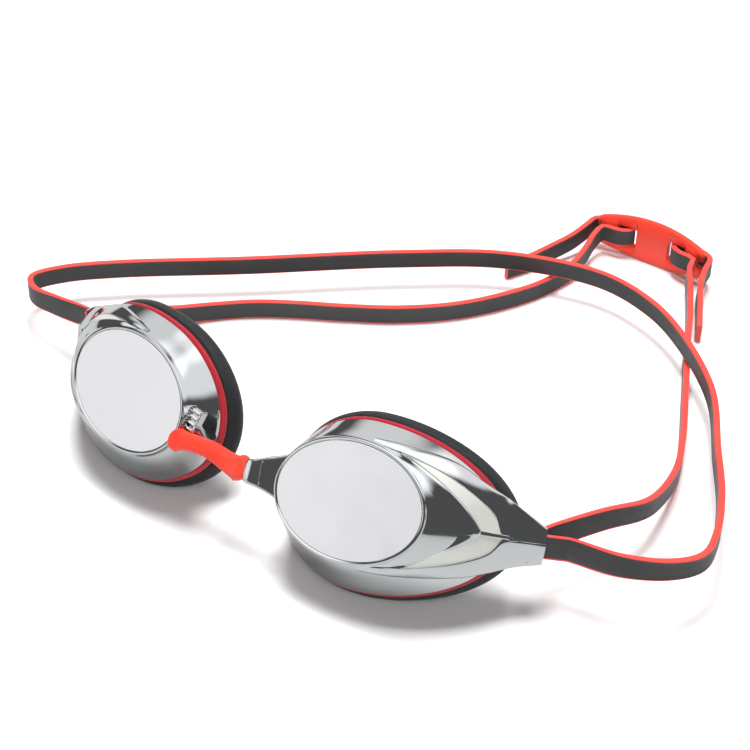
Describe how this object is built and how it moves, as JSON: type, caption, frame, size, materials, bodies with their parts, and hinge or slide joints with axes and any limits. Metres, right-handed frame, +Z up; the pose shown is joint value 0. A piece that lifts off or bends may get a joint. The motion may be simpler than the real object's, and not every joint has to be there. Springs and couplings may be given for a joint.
{
  "type": "swim goggles",
  "caption": "Racing swim goggles with two mirrored eyecups, soft nose bridge, flat head strap and strap clip, lying with the strap looped behind.",
  "frame": {"origin": "centre of the footprint, on the surface the goggles lie on", "axes": "+X to the wearer's left, across both eyecups; -Y the way the lenses face; +Z up from the table"},
  "size_m": [0.206, 0.1754, 0.0379],
  "materials": {
    "chrome": "mirror-bright metallised plastic",
    "mirror_lens": "silver mirror coated lens",
    "band_red": "satin crimson",
    "gasket_black": "matte black silicone",
    "bright_red": "satin orange-red",
    "strap_silicone": "matte dark grey silicone with red edges"
  },
  "bodies": {
    "bridge": {"nose_bridge": "bright_red", "strap_upper_left_side": "strap_silicone", "strap_upper_right_side": "strap_silicone", "strap_lower_left_side": "strap_silicone", "strap_lower_right_side": "strap_silicone"},
    "left_cup": {"left_frame": "chrome", "left_lens": "mirror_lens", "left_seal_band": "band_red", "left_gasket": "gasket_black", "left_strap_turn": "strap_silicone"},
    "right_cup": {"right_frame": "chrome", "right_lens": "mirror_lens", "right_seal_band": "band_red", "right_gasket": "gasket_black", "right_strap_turn": "strap_silicone"},
    "strap": {"strap_upper_rear_left": "strap_silicone", "strap_upper_rear_right": "strap_silicone", "strap_lower_left_rear": "strap_silicone", "strap_left_end": "strap_silicone", "strap_lower_right_rear": "strap_silicone", "strap_right_end": "strap_silicone", "strap_clip": "bright_red"}
  },
  "joints": [
    {"name": "left_cup_flex", "type": "hinge", "parent": "bridge", "child": "left_cup", "pos_m": [0.00125, -0.08013, 0.01934], "axis": [0, -0.5255, -0.8508], "range_deg": [-12, 15], "deforming": ["nose_bridge", "strap_upper_left_side", "strap_lower_left_side"]},
    {"name": "right_cup_flex", "type": "hinge", "parent": "bridge", "child": "right_cup", "pos_m": [0.00525, -0.08023, 0.01934], "axis": [0, 0.5255, 0.8508], "range_deg": [-12, 15], "deforming": ["nose_bridge", "strap_upper_right_side", "strap_lower_right_side"]},
    {"name": "strap_lift", "type": "hinge", "parent": "bridge", "child": "strap", "pos_m": [0.00305, -0.03563, 0.00904], "axis": [1, 0, 0], "range_deg": [-30, 60], "deforming": ["strap_upper_left_side", "strap_upper_right_side", "strap_lower_left_side", "strap_lower_right_side"]}
  ]
}
